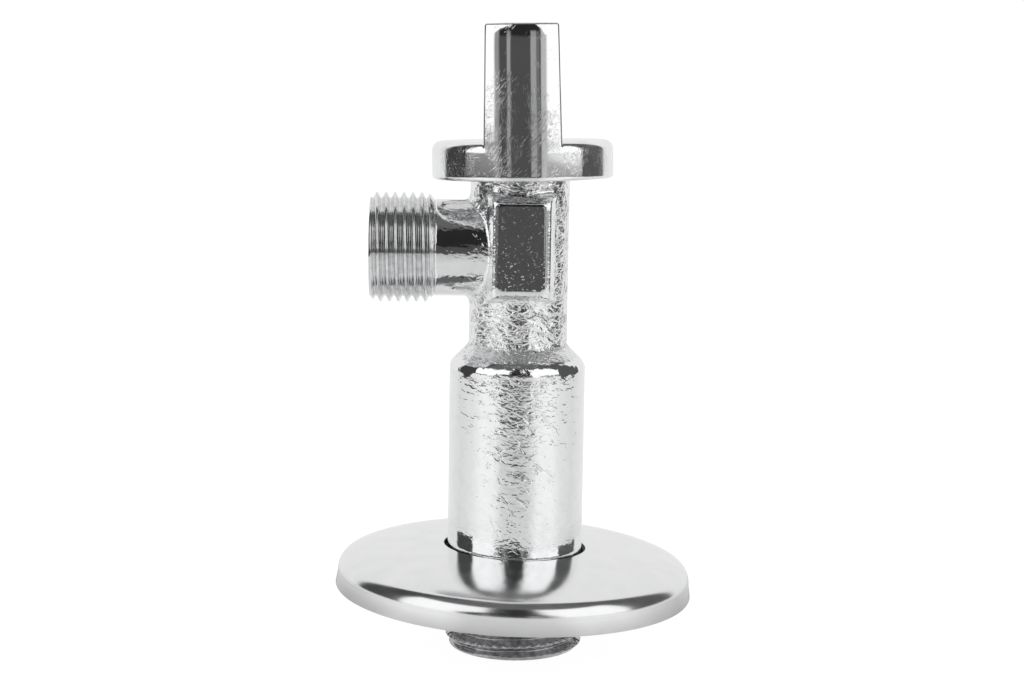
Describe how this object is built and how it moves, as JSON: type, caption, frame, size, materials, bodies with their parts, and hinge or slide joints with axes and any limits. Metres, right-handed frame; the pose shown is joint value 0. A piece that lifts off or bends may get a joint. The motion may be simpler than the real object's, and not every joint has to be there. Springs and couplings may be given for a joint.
{
  "type": "angle stop valve",
  "caption": "Chromed angle stop valve with a threaded inlet below, a threaded side outlet, a bar handle on top and a loose round wall escutcheon.",
  "frame": {"origin": "centre of the inlet's end face, on the valve's axis", "axes": "+Z along the valve's axis from the inlet to the handle, -X along the outlet, so that +Y points away from a viewer who has the outlet on the left"},
  "size_m": [0.0542, 0.0542, 0.0937],
  "materials": {
    "chrome_body": "polished",
    "chrome_handle": "polished",
    "polished_steel": "polished",
    "brass": "satin",
    "spring_steel": "satin",
    "zinc_steel": "satin",
    "rubber": "matte",
    "cap_plastic": "gloss"
  },
  "bodies": {
    "valve": {"valve_body": "chrome_body", "bonnet": "brass", "bonnet_o_ring": "rubber"},
    "plate": {"escutcheon": "polished_steel", "escutcheon_grip_ring": "rubber"},
    "closer": {"washer_carrier": "brass", "carrier_clip": "spring_steel", "seat_washer": "rubber", "washer_plate": "brass", "washer_screw": "brass"},
    "turning": {"spindle": "brass", "spindle_o_ring_lower": "rubber", "spindle_o_ring_upper": "rubber", "handle": "chrome_handle", "handle_lock_washer": "spring_steel", "handle_screw": "zinc_steel", "index_cap": "cap_plastic"}
  },
  "joints": [
    {"name": "plate_slide", "type": "slide", "parent": "valve", "child": "plate", "axis": [0, 0, 1], "range_m": [-0.0079, 0.0365]},
    {"name": "closer_lift", "type": "slide", "parent": "valve", "child": "closer", "axis": [0, 0, 1], "range_m": [0, 0.00337]},
    {"name": "handle_turn", "type": "hinge", "parent": "closer", "child": "turning", "pos_m": [0, 0, 0.0713], "axis": [0, 0, 1], "range_deg": [0, 810]}
  ],
  "couplings": [
    {"joint": "handle_turn", "follows": "closer_lift", "rad_per_m": 4188.8}
  ]
}
